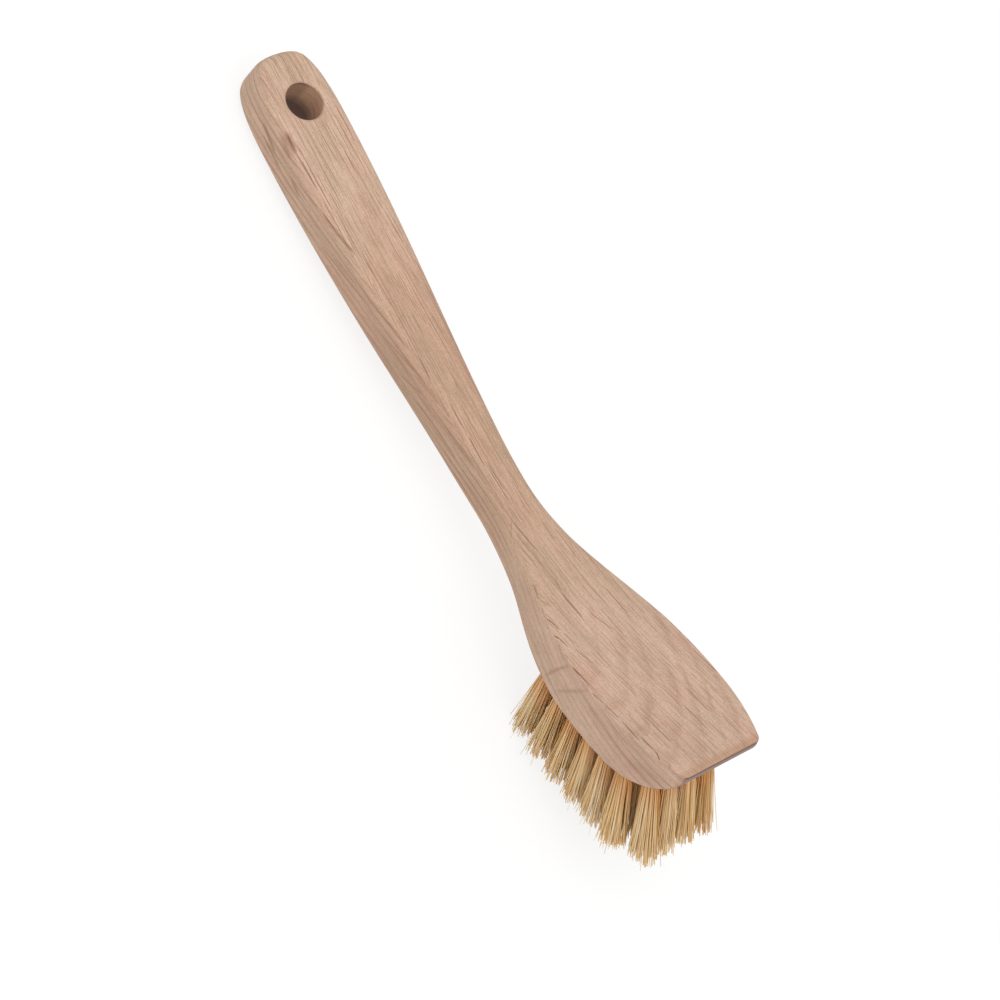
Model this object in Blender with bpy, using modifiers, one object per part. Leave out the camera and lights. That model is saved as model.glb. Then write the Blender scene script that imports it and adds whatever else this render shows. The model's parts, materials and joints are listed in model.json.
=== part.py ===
"""Wooden dish brush.

Handle and head are one length of oak. The head's underside is drilled with blind holes that fan out,
and each hole holds a tuft of plant fibre, folded in two over a flat wire anchor that bites into the wood.
The brush is modelled with the head's top level, then tipped back onto its rear bristles and its handle end.
"""
import math
import random

import bmesh
import bpy
import numpy as np
from mathutils import Matrix, Vector

mm = 0.001

# The wood seen from above. Places are measured along its back, starting at the front edge.
back_length = 260.0 * mm
front_edge_width = 29.4 * mm
front_corner_radius = 1.5 * mm
head_width = 40.4 * mm
head_widest_at = 33.5 * mm
neck_width = 15.2 * mm
neck_at = 108.0 * mm
grip_width = 25.6 * mm
butt_length = 30.0 * mm
butt_flat_width = 3.0 * mm
front_curve = 2.6
neck_lag = 1.1
butt_curve = 3.1

# The wood seen from the side.
front_edge_thickness = 1.2 * mm
head_thickness = 18.5 * mm
chin_length = 24.5 * mm
head_full_until = 36.0 * mm
waist_thickness = 14.3 * mm
waist_at = 83.0 * mm
grip_thickness = 18.4 * mm
full_grip_length = 79.0 * mm
chin_curve = 1.78
waist_lag = 2.2
head_straight = 40.0 * mm
bend_length = 85.0 * mm
bend_angle = math.radians(23.3)

# Edges: crisp round the head, well rounded on the handle.
head_top_radius = 0.6 * mm
head_bottom_radius = 1.0 * mm
grip_edge_radius = 3.9 * mm
rounding_from = 50.0 * mm
rounding_full_at = 85.0 * mm
rounding_limit_share = 0.45

# Hanging hole through the handle's end.
hanging_hole_diameter = 12.4 * mm
hanging_hole_from_end = 18.0 * mm
hanging_hole_rim = 1.0 * mm

# Holes for the tufts.
drill_diameter = 5.2 * mm
drill_depth_share = 0.5
front_row_at = 13.7 * mm
rear_row_at = 57.4 * mm
front_row_width_share = 0.58
edge_wall = 2.7 * mm
wall_between_holes = 1.2 * mm
widest_row_tufts = 5
row_fill_shares = (0.8, 1.0, 0.8, 1.0, 0.8, 0.8, 0.6)
side_splay = math.radians(2.4)
front_splay = math.radians(15.5)
rear_splay = math.radians(3)

# Tufts and the anchors that hold them.
fit_gap = 0.3 * mm
bristle_reach = 27.5 * mm
trim_variation = 0.7 * mm
plug_proud = 0.5 * mm
root_embed = 1.0 * mm
fold_thickness = 1.3 * mm
strand_root_radius = 0.36 * mm
strand_tip_radius = 0.30 * mm
strand_stray = 0.25 * mm
strand_rings = 3
strands_more_each_ring = 4
outer_ring_share = 0.8
tuft_widening_share = 0.75
anchor_thickness = 0.4 * mm
anchor_height = 2.2 * mm
anchor_bite = 0.6 * mm
anchor_turn = math.radians(45)

# Facets.
chin_steps = 8
body_steps = 34
butt_steps = 9
corner_steps = 4
drill_sides = 12
strand_sides = 3
hanging_hole_sides = 32
rim_steps = 3
cut_overrun = 2.0 * mm
weld_distance = 0.003 * mm

# Search for the angle that the brush rests at.
steepest_rest = math.radians(60)
rest_halvings = 50

drill_depth = head_thickness * drill_depth_share
plug_radius = drill_diameter / 2 - fit_gap
trim_level = -(head_thickness + bristle_reach)
seat_height = anchor_height + 2 * fit_gap
anchor_length = drill_diameter + 2 * anchor_bite
anchor_level = -(drill_depth - fit_gap - fold_thickness) + seat_height / 2


def bulge(share, power):
    """Rises from 0 to 1 as a quarter of a rounded outline does, steep first."""
    near = min(max(share, 0.0), 1.0)
    return (1 - (1 - near) ** power) ** (1 / power)


def sway(share, lag=1.0):
    """Eases from 0 to 1 and is level at both ends; a lag over 1 holds it back."""
    near = min(max(share, 0.0), 1.0)
    return (1 - math.cos(math.pi * near ** lag)) / 2


def between(start, end, share):
    return start + (end - start) * share


def drawn_in(radius, from_end):
    """How far a rounded edge has drawn in, at a distance from the end that it rounds."""
    past = max(radius - from_end, 0.0)
    return radius - math.sqrt(max(radius ** 2 - past ** 2, 0.0))


def half_width_at(along):
    grip_widest_at = back_length - butt_length
    if along < head_widest_at:
        width = between(front_edge_width, head_width, 1 - (1 - along / head_widest_at) ** front_curve)
    elif along < neck_at:
        share = (along - head_widest_at) / (neck_at - head_widest_at)
        width = between(head_width, neck_width, sway(share, neck_lag))
    elif along < grip_widest_at:
        width = between(neck_width, grip_width, sway((along - neck_at) / (grip_widest_at - neck_at)))
    else:
        share = (back_length - along) / butt_length
        width = between(butt_flat_width, grip_width, bulge(share, butt_curve))
    return width / 2 - drawn_in(front_corner_radius, along)


def thickness_at(along):
    grip_full_at = back_length - full_grip_length
    if along < head_full_until:
        return between(front_edge_thickness, head_thickness, bulge(along / chin_length, chin_curve))
    if along < waist_at:
        share = (along - head_full_until) / (waist_at - head_full_until)
        return between(head_thickness, waist_thickness, sway(share, waist_lag))
    return between(waist_thickness, grip_thickness, sway((along - waist_at) / (grip_full_at - waist_at)))


def back_frame(along):
    """Frame on the middle of the back: X across, Y along the wood, Z square to its face."""
    turned = min(max((along - head_straight) / bend_length, 0.0), 1.0) * bend_angle
    radius = bend_length / bend_angle
    straight = min(along, head_straight)
    past = max(along - head_straight - bend_length, 0.0)
    y = straight + radius * math.sin(turned) + past * math.cos(turned)
    z = radius * (1 - math.cos(turned)) + past * math.sin(turned)
    return Matrix.Translation((0, y, z)) @ Matrix.Rotation(turned, 4, "X")


def corner(centre_x, centre_z, radius, start):
    """Quarter circle of a section, turning clockwise from an angle."""
    angles = [start - math.pi / 2 * step / corner_steps for step in range(corner_steps + 1)]
    return [(centre_x + radius * math.cos(a), centre_z + radius * math.sin(a)) for a in angles]


def section_at(along):
    """Rounded rectangle across the wood, hanging from its back."""
    half_width = half_width_at(along)
    inset = drawn_in(grip_edge_radius, back_length - along)
    thickness = thickness_at(along) - 2 * inset
    rounding = min(max((along - rounding_from) / (rounding_full_at - rounding_from), 0.0), 1.0)
    largest = rounding_limit_share * min(thickness, 2 * half_width)
    top = min(between(head_top_radius, grip_edge_radius, rounding), largest)
    bottom = min(between(head_bottom_radius, grip_edge_radius, rounding), largest)
    right = corner(half_width - top, -top, top, math.pi / 2)
    right += corner(half_width - bottom, bottom - thickness, bottom, 0.0)
    outline = right + [(-x, z) for x, z in reversed(right)]
    frame = back_frame(along)
    return [frame @ Vector((x, 0, z - inset)) for x, z in outline]


def stations():
    """Places of the sections: close together where the chin and the handle's end curve fast."""
    grip_widest_at = back_length - butt_length
    chin = [chin_length * (step / chin_steps) ** 2 for step in range(chin_steps)]
    body = [between(chin_length, grip_widest_at, step / body_steps) for step in range(body_steps)]
    butt = [grip_widest_at + butt_length * math.sin(math.pi / 2 * step / butt_steps)
            for step in range(butt_steps + 1)]
    return chin + body + butt


def mesh_from(shape, name):
    mesh = bpy.data.meshes.new(name)
    bmesh.ops.recalc_face_normals(shape, faces=shape.faces)
    shape.to_mesh(mesh)
    shape.free()
    return mesh


def place(name, mesh, collection, frame, material=None):
    item = bpy.data.objects.new(name, mesh)
    item.matrix_world = frame
    if material:
        item.data.materials.clear()
        item.data.materials.append(material)
    else:
        item.hide_render = True
        item.display_type = "WIRE"
    collection.objects.link(item)
    return item


def boolean(item, name, operation, operand):
    modifier = item.modifiers.new(name, "BOOLEAN")
    modifier.operation = operation
    if isinstance(operand, bpy.types.Collection):
        modifier.operand_type = "COLLECTION"
        modifier.collection = operand
    else:
        modifier.object = operand


def finish(name, colour, roughness, metallic=0.0):
    material = bpy.data.materials.new(name)
    material.use_nodes = True
    shader = material.node_tree.nodes["Principled BSDF"]
    shader.inputs["Base Color"].default_value = (*colour, 1.0)
    shader.inputs["Roughness"].default_value = roughness
    shader.inputs["Metallic"].default_value = metallic
    return material


def wood_mesh():
    shape = bmesh.new()
    rings = [[shape.verts.new(point) for point in section_at(along)] for along in stations()]
    for ring, following in zip(rings, rings[1:]):
        for i in range(len(ring)):
            j = (i + 1) % len(ring)
            shape.faces.new((ring[i], ring[j], following[j], following[i]))
    shape.faces.new(rings[0])
    shape.faces.new(rings[-1])
    mesh = mesh_from(shape, "Wood")
    mesh.shade_smooth()
    mesh.set_sharp_from_angle(angle=math.radians(35))
    return mesh


def hanging_hole_mesh(depth):
    """Half profile of the hole's cutter, with a rounded rim at each face of the handle."""
    radius = hanging_hole_diameter / 2
    rim = [(radius + hanging_hole_rim, cut_overrun)]
    for step in range(rim_steps + 1):
        angle = math.pi / 2 * step / rim_steps
        rim.append((radius + hanging_hole_rim * (1 - math.sin(angle)), -hanging_hole_rim * (1 - math.cos(angle))))
    profile = [(0.0, cut_overrun)] + rim + [(x, -depth - z) for x, z in reversed(rim)] + [(0.0, -depth - cut_overrun)]
    shape = bmesh.new()
    points = [shape.verts.new((x, 0, z)) for x, z in profile]
    for start, end in zip(points, points[1:]):
        shape.edges.new((start, end))
    mesh = bpy.data.meshes.new("Hanging_hole")
    shape.to_mesh(mesh)
    shape.free()
    return mesh


def hanging_hole(cutters):
    along = back_length - hanging_hole_from_end
    cutter = place("Hanging_hole", hanging_hole_mesh(thickness_at(along)), cutters, back_frame(along))
    screw = cutter.modifiers.new("Turned", "SCREW")
    screw.axis = "Z"
    screw.steps = hanging_hole_sides
    screw.render_steps = hanging_hole_sides
    screw.use_merge_vertices = True
    screw.merge_threshold = weld_distance
    return cutter


def cylinder_mesh(name, radius, low, high):
    shape = bmesh.new()
    middle = Matrix.Translation((0, 0, (low + high) / 2))
    bmesh.ops.create_cone(shape, cap_ends=True, segments=drill_sides, radius1=radius, radius2=radius,
                          depth=high - low, matrix=middle)
    return mesh_from(shape, name)


def plate_mesh(name, length, thickness, height):
    """Flat plate on edge across a hole, at the level where the tuft folds over its anchor."""
    shape = bmesh.new()
    turn = Matrix.Rotation(anchor_turn, 4, "Z")
    size = Matrix.Diagonal((length, thickness, height, 1))
    bmesh.ops.create_cube(shape, size=1, matrix=Matrix.Translation((0, 0, anchor_level)) @ turn @ size)
    return mesh_from(shape, name)


def tuft_frame(across, along):
    """Where a tuft leaves the underside, with Z pointing out along the bristles."""
    side = side_splay * across / (head_width / 2)
    end = between(-front_splay, rear_splay, (along - front_row_at) / (rear_row_at - front_row_at))
    out = Vector((math.tan(side), math.tan(end), -1)).normalized()
    back = out.cross(Vector((1, 0, 0))).normalized()
    frame = Matrix((back.cross(out), back, out)).transposed().to_4x4()
    frame.translation = back_frame(along) @ Vector((across, 0, -thickness_at(along)))
    return frame


def tuft_places():
    """Row and column of each tuft, with its place on the underside. A row holds no more than fit."""
    pitch = drill_diameter + wall_between_holes
    rows = min(len(row_fill_shares), 1 + int((rear_row_at - front_row_at) / pitch))
    places = []
    for row in range(rows):
        along = between(front_row_at, rear_row_at, row / (rows - 1))
        reach = half_width_at(along) - edge_wall - drill_diameter / 2
        if row == 0:
            reach = half_width_at(along) * front_row_width_share
        columns = min(round(widest_row_tufts * row_fill_shares[row]), 1 + int(2 * reach / pitch))
        for column in range(columns):
            places.append((row + 1, column + 1, between(-reach, reach, column / (columns - 1)), along))
    return places


def strand_roots(dice):
    """Places of the strands on the tuft's mouth, ring by ring."""
    roots = []
    for ring in range(strand_rings):
        strands = 1 + strands_more_each_ring * ring
        radius = plug_radius * outer_ring_share * ring / (strand_rings - 1)
        first = dice.uniform(0, 2 * math.pi)
        for strand in range(strands):
            angle = first + 2 * math.pi * strand / strands
            roots.append(Vector((radius * math.cos(angle), radius * math.sin(angle), plug_proud - root_embed)))
    return roots


def strands_mesh(name, frame, dice):
    """Tapered strands that spread from the tuft's mouth and end near the trimmed level."""
    shape = bmesh.new()
    for root in strand_roots(dice):
        stray = Vector((dice.uniform(-1, 1), dice.uniform(-1, 1), 0)) * strand_stray
        lean = Vector((root.x, root.y, 0)) * tuft_widening_share + stray
        direction = (lean + Vector((0, 0, bristle_reach))).normalized()
        start = frame @ root
        drop = (frame.to_3x3() @ direction).z
        level = trim_level + dice.uniform(-1, 1) * trim_variation
        length = (level - start.z) / drop
        turn = Vector((0, 0, 1)).rotation_difference(direction).to_matrix().to_4x4()
        middle = Matrix.Translation(root + direction * length / 2)
        bmesh.ops.create_cone(shape, cap_ends=True, segments=strand_sides, radius1=strand_root_radius,
                              radius2=strand_tip_radius, depth=length, matrix=middle @ turn)
    return mesh_from(shape, name)


def tufts_and_anchors(parts, cutters, drilled, fibre, steel):
    dice = random.Random(5)
    drill = cylinder_mesh("Drill", drill_diameter / 2, -drill_depth, cut_overrun)
    plug = cylinder_mesh("Folded_fibre", plug_radius, fit_gap - drill_depth, plug_proud)
    seat = plate_mesh("Seat", anchor_length + 2 * fit_gap, anchor_thickness + 2 * fit_gap, seat_height)
    anchor = plate_mesh("Anchor", anchor_length, anchor_thickness, anchor_height)
    for row, column, across, along in tuft_places():
        label = f"row{row}_{column}"
        frame = tuft_frame(across, along)
        place(f"drill_{label}", drill, drilled, frame)
        bite = place(f"seat_{label}", seat, drilled, frame)
        strands = place(f"strands_{label}", strands_mesh("Strands", frame, dice), cutters, frame)
        tuft = place(f"tuft_{label}", plug, parts, frame, fibre)
        boolean(tuft, "Strands", "UNION", strands)
        boolean(tuft, "Anchor_slot", "DIFFERENCE", bite)
        place(f"anchor_{label}", anchor, parts, frame, steel)


def evaluated_points(items):
    """World points of the finished meshes of some objects."""
    graph = bpy.context.evaluated_depsgraph_get()
    points = []
    for item in items:
        finished = item.evaluated_get(graph)
        points += [finished.matrix_world @ vertex.co for vertex in finished.data.vertices]
    return np.array(points)


def rest_pitch(bristles, wood):
    """Angle that brings the rear bristles and the handle's end down to one level."""
    low, high = 0.0, steepest_rest
    for _ in range(rest_halvings):
        pitch = (low + high) / 2
        level = np.array((0, -math.sin(pitch), math.cos(pitch)))
        if (bristles @ level).min() < (wood @ level).min():
            low = pitch
        else:
            high = pitch
    return pitch


def lay_to_rest(parts, cutters, drilled):
    """Tips the brush onto what it rests on, with its box centred over the origin."""
    bpy.context.view_layer.update()
    bristles = evaluated_points([item for item in parts.objects if item.name.startswith("tuft")])
    wood = evaluated_points([parts.objects["oak_handle_and_head"]])
    turn = Matrix.Rotation(-rest_pitch(bristles, wood), 3, "X")
    turned = np.concatenate((bristles, wood)) @ np.array(turn).T
    low, high = turned.min(axis=0), turned.max(axis=0)
    rest = bpy.data.objects.new("rest_pose", None)
    rest.matrix_world = Matrix.Translation((-(low[0] + high[0]) / 2, -(low[1] + high[1]) / 2, -low[2])) @ turn.to_4x4()
    parts.objects.link(rest)
    for item in [*parts.objects, *cutters.objects, *drilled.objects]:
        if item != rest:
            item.parent = rest


def clear_scene():
    for item in list(bpy.data.objects):
        bpy.data.objects.remove(item)


def new_collection(name, parent):
    collection = bpy.data.collections.new(name)
    parent.children.link(collection)
    return collection


def main():
    clear_scene()
    parts = new_collection("Dish_brush", bpy.context.scene.collection)
    cutters = new_collection("Cutters", bpy.context.scene.collection)
    drilled = new_collection("Drilled_holes", cutters)
    oak = finish("Oiled_oak", (0.594, 0.418, 0.304), 0.6)
    fibre = finish("Plant_fibre", (0.578, 0.367, 0.136), 0.7)
    steel = finish("Galvanised_steel_wire", (0.5, 0.5, 0.5), 0.35, 1.0)
    wood = place("oak_handle_and_head", wood_mesh(), parts, Matrix.Identity(4), oak)
    boolean(wood, "Hanging_hole", "DIFFERENCE", hanging_hole(cutters))
    tufts_and_anchors(parts, cutters, drilled, fibre, steel)
    boolean(wood, "Drilled_holes", "DIFFERENCE", drilled)
    lay_to_rest(parts, cutters, drilled)


main()
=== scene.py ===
import json
import math
import random

import bmesh
import bpy
import numpy as np
from mathutils import Matrix, Vector

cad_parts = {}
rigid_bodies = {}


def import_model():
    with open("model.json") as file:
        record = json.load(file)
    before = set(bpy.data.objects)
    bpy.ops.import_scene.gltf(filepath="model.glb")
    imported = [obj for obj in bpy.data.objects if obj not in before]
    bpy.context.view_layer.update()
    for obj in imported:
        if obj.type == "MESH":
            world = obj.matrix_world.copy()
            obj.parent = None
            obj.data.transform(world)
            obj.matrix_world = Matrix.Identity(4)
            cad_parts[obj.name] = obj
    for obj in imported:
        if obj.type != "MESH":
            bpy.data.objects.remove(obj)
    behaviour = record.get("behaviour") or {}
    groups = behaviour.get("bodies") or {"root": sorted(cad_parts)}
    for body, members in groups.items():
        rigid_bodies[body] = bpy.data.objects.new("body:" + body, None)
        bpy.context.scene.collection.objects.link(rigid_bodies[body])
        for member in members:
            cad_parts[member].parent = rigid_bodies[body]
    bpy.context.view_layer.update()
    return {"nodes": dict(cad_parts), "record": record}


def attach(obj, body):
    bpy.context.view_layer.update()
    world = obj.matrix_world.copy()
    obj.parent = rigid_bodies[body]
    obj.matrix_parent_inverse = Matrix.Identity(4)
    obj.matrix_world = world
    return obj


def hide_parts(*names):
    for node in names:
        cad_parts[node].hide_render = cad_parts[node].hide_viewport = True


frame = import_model()
print("Frame:", len(frame["nodes"]), "CAD nodes loaded")

mm = 0.001

# The wood, in millimetres, measured along its back from the head's front edge.
wood = {
    "length": 260.0, "mountAt": 30.0,
    "frontWidth": 29.4, "frontCorner": 1.5, "headWidth": 40.4, "headWidestAt": 33.5,
    "neckWidth": 15.2, "neckAt": 108.0, "gripWidth": 25.6, "buttLength": 30.0, "buttFlatWidth": 3.0,
    "frontCurve": 2.6, "neckLag": 1.1, "buttCurve": 3.1,
    "frontThickness": 1.2, "headThickness": 18.5, "chinLength": 24.5, "headFullUntil": 36.0,
    "waistThickness": 14.3, "waistAt": 83.0, "gripThickness": 18.4, "fullGripLength": 79.0,
    "chinCurve": 1.78, "waistLag": 2.2,
    "headStraight": 40.0, "bendLength": 85.0, "bendAngle": math.radians(23.3),
    "headTopRadius": 0.6, "headBottomRadius": 1.0, "frontTopRadius": 0.9, "gripRadius": 3.9,
    "roundingFrom": 50.0, "roundingFullAt": 85.0, "largestRounding": 0.45,
    "edgeSupport": 0.2, "largestSupport": 0.3, "sharpFrom": math.radians(40),
    "holeDiameter": 12.4, "holeFromEnd": 18.0, "holeRim": 1.0,
    "chinSteps": 26, "bodyStep": 1.0, "buttSteps": 30, "cornerSteps": 7, "flatCuts": 10, "sideCuts": 7,
    "holeSides": 96, "rimSteps": 6, "wallSteps": 8, "cutOverrun": 2.0,
}


def bulge(share, power):  # rises from 0 to 1 as a quarter of a rounded outline does, steep first
    near = min(max(share, 0.0), 1.0)
    return (1 - (1 - near) ** power) ** (1 / power)


def sway(share, lag=1.0):  # eases from 0 to 1, level at both ends
    near = min(max(share, 0.0), 1.0)
    return (1 - math.cos(math.pi * near ** lag)) / 2


def between(start, end, share):
    return start + (end - start) * share


# The head's own frame in the row: X across, Y back along the head, Z up off its flat top, front edge at Y = 0
def findHeadFrame():
    mount = next(mount for mount in frame["record"]["mounts"] if mount["name"] == "head_back")
    up = Vector(mount["axis"]).normalized()
    across = Vector((1, 0, 0))
    along = up.cross(across)
    origin = Vector(mount["pos_m"]) - along * wood["mountAt"] * mm
    return Matrix.Translation(origin) @ Matrix((across, along, up)).transposed().to_4x4()


headFrame = findHeadFrame()
toRow = headFrame @ Matrix.Scale(mm, 4)  # from millimetres in the head's frame


def drawnIn(radius, fromEnd):  # how far a rounded edge has drawn in, at a distance from its end
    past = max(radius - fromEnd, 0.0)
    return radius - math.sqrt(max(radius ** 2 - past ** 2, 0.0))


def halfWidthAt(along):
    widestAt = wood["length"] - wood["buttLength"]
    if along < wood["headWidestAt"]:
        share = 1 - (1 - along / wood["headWidestAt"]) ** wood["frontCurve"]
        width = between(wood["frontWidth"], wood["headWidth"], share)
    elif along < wood["neckAt"]:
        share = (along - wood["headWidestAt"]) / (wood["neckAt"] - wood["headWidestAt"])
        width = between(wood["headWidth"], wood["neckWidth"], sway(share, wood["neckLag"]))
    elif along < widestAt:
        share = (along - wood["neckAt"]) / (widestAt - wood["neckAt"])
        width = between(wood["neckWidth"], wood["gripWidth"], sway(share))
    else:
        share = (wood["length"] - along) / wood["buttLength"]
        width = between(wood["buttFlatWidth"], wood["gripWidth"], bulge(share, wood["buttCurve"]))
    return width / 2 - drawnIn(wood["frontCorner"], along)


def thicknessAt(along):
    fullAt = wood["length"] - wood["fullGripLength"]
    if along < wood["headFullUntil"]:
        share = bulge(along / wood["chinLength"], wood["chinCurve"])
        return between(wood["frontThickness"], wood["headThickness"], share)
    if along < wood["waistAt"]:
        share = (along - wood["headFullUntil"]) / (wood["waistAt"] - wood["headFullUntil"])
        return between(wood["headThickness"], wood["waistThickness"], sway(share, wood["waistLag"]))
    share = (along - wood["waistAt"]) / (fullAt - wood["waistAt"])
    return between(wood["waistThickness"], wood["gripThickness"], sway(share))


# Frame on the middle of the back: X across, Y along the wood, Z square to its face
def backFrame(along):
    turned = min(max((along - wood["headStraight"]) / wood["bendLength"], 0.0), 1.0) * wood["bendAngle"]
    radius = wood["bendLength"] / wood["bendAngle"]
    past = max(along - wood["headStraight"] - wood["bendLength"], 0.0)
    y = min(along, wood["headStraight"]) + radius * math.sin(turned) + past * math.cos(turned)
    z = radius * (1 - math.cos(turned)) + past * math.sin(turned)
    return Matrix.Translation((0, y, z)) @ Matrix.Rotation(turned, 4, "X")


# One rounded cross-section of the wood, as a ring of points from the middle of the back
def sectionAt(along):
    halfWidth = halfWidthAt(along)
    inset = drawnIn(wood["gripRadius"], wood["length"] - along)
    lowered = inset + drawnIn(wood["frontTopRadius"], along)
    thickness = thicknessAt(along) - inset - lowered
    rounding = (along - wood["roundingFrom"]) / (wood["roundingFullAt"] - wood["roundingFrom"])
    rounding = min(max(rounding, 0.0), 1.0)
    largest = wood["largestRounding"] * min(thickness, 2 * halfWidth)
    top = min(between(wood["headTopRadius"], wood["gripRadius"], rounding), largest)
    bottom = min(between(wood["headBottomRadius"], wood["gripRadius"], rounding), largest)
    right = flatRun((0.0, 0.0), (halfWidth - top, 0.0), wood["flatCuts"])
    right += cornerArc(halfWidth - top, -top, top, math.pi / 2)
    right += flatRun((halfWidth, -top), (halfWidth, bottom - thickness), wood["sideCuts"])
    right += cornerArc(halfWidth - bottom, bottom - thickness, bottom, 0.0)
    right += flatRun((halfWidth - bottom, -thickness), (0.0, -thickness), wood["flatCuts"])
    outline = [(0.0, 0.0)] + right + [(0.0, -thickness)] + [(-x, z) for x, z in reversed(right)]
    place = backFrame(along)
    return [place @ Vector((x, 0, z - lowered)) for x, z in outline]


# Points between the ends of a flat, the outer ones close to its ends so that the rounded edges stay crisp
def flatRun(start, end, cuts):
    length = math.dist(start, end)
    near = min(wood["edgeSupport"], wood["largestSupport"] * length) / length
    if near < 1 / cuts:
        shares = [near] + [cut / cuts for cut in range(1, cuts)] + [1 - near]
    else:
        shares = [between(near, 1 - near, cut / cuts) for cut in range(cuts + 1)]
    return [(between(start[0], end[0], share), between(start[1], end[1], share)) for share in shares]


def cornerArc(middleX, middleZ, radius, start):
    angles = [start - math.pi / 2 * step / wood["cornerSteps"] for step in range(wood["cornerSteps"] + 1)]
    return [(middleX + radius * math.cos(angle), middleZ + radius * math.sin(angle)) for angle in angles]


# Where the cross-sections stand along the back: close together at both ends, evenly between
def stations():
    widestAt = wood["length"] - wood["buttLength"]
    bodySteps = round((widestAt - wood["chinLength"]) / wood["bodyStep"])
    chin = [wood["chinLength"] * (step / wood["chinSteps"]) ** 2 for step in range(wood["chinSteps"])]
    body = [between(wood["chinLength"], widestAt, step / bodySteps) for step in range(bodySteps)]
    butt = [widestAt + wood["buttLength"] * math.sin(math.pi / 2 * step / wood["buttSteps"])
            for step in range(wood["buttSteps"] + 1)]
    return chin + body + butt


def newObject(name, mesh):
    item = bpy.data.objects.new(name, mesh)
    bpy.context.scene.collection.objects.link(item)
    return item


def meshFrom(shape, name):
    bmesh.ops.recalc_face_normals(shape, faces=shape.faces)
    mesh = bpy.data.meshes.new(name)
    shape.to_mesh(mesh)
    shape.free()
    return mesh


# A closed shape skinned over rings of points, with flat ends
def skinned(name, rings):
    shape = bmesh.new()
    loops = [[shape.verts.new(point) for point in ring] for ring in rings]
    for loop, following in zip(loops, loops[1:]):
        for here in range(len(loop)):
            there = (here + 1) % len(loop)
            shape.faces.new((loop[here], loop[there], following[there], following[here]))
    shape.faces.new(loops[0])
    shape.faces.new(loops[-1])
    return newObject(name, meshFrom(shape, name))


# The hanging hole's cutter: its radius flares into a rounded rim at both faces of the handle
def hangingHoleCutter():
    holeAt = wood["length"] - wood["holeFromEnd"]
    depth, rim = thicknessAt(holeAt), wood["holeRim"]
    radius = wood["holeDiameter"] / 2
    flare = [(radius + rim, wood["cutOverrun"])]
    for step in range(wood["rimSteps"] + 1):
        angle = math.pi / 2 * step / wood["rimSteps"]
        flare.append((radius + rim * (1 - math.sin(angle)), -rim * (1 - math.cos(angle))))
    wall = [(radius, between(-rim, rim - depth, step / wood["wallSteps"]))
            for step in range(1, wood["wallSteps"])]
    outline = flare + wall + [(reach, -depth - level) for reach, level in reversed(flare)]
    turns = [math.tau * side / wood["holeSides"] for side in range(wood["holeSides"])]
    place = backFrame(holeAt)
    return skinned("cutHangingHole", [
        [place @ Vector((reach * math.cos(turn), reach * math.sin(turn), level)) for turn in turns]
        for reach, level in outline])


# The drilled holes and the tufts of fibre in them, in millimetres
tufts = {
    "perRow": (4, 5, 4, 5, 4, 4, 3), "frontRowAt": 13.7, "rearRowAt": 57.4, "frontRowShare": 0.58,
    "edgeWall": 2.7, "drillDiameter": 5.2, "drillDepthShare": 0.5, "drillSides": 40,
    "sideSplay": math.radians(2.4), "frontSplay": math.radians(15.5), "rearSplay": math.radians(3.0),
    "anchorThickness": 0.4, "anchorHeight": 2.2, "anchorBite": 0.6, "anchorTurn": math.radians(45),
    "foldThickness": 1.3, "gap": 0.3, "reach": 27.5, "overlong": 1.1, "spread": 2.05, "widest": 20.3,
}


# Where a tuft leaves the underside, with Z pointing out along its fibres
def tuftFrame(across, along):
    side = tufts["sideSplay"] * across / (wood["headWidth"] / 2)
    share = (along - tufts["frontRowAt"]) / (tufts["rearRowAt"] - tufts["frontRowAt"])
    end = between(-tufts["frontSplay"], tufts["rearSplay"], share)
    out = Vector((math.tan(side), math.tan(end), -1)).normalized()
    back = out.cross(Vector((1, 0, 0))).normalized()
    place = Matrix((back.cross(out), back, out)).transposed().to_4x4()
    place.translation = backFrame(along) @ Vector((across, 0, -thicknessAt(along)))
    return place


def tuftPlaces():  # row, column, and the tuft's place across and along the head
    places = []
    for row, columns in enumerate(tufts["perRow"]):
        along = between(tufts["frontRowAt"], tufts["rearRowAt"], row / (len(tufts["perRow"]) - 1))
        reach = halfWidthAt(along) - tufts["edgeWall"] - tufts["drillDiameter"] / 2
        if row == 0:
            reach = halfWidthAt(along) * tufts["frontRowShare"]
        for column in range(columns):
            places.append((row + 1, column + 1, between(-reach, reach, column / (columns - 1)), along))
    return places


def anchorLevel():  # the middle of the anchor's seat, above the underside of the head
    lowest = tufts["gap"] + tufts["foldThickness"] - wood["headThickness"] * tufts["drillDepthShare"]
    return lowest + tufts["anchorHeight"] / 2 + tufts["gap"]


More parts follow.
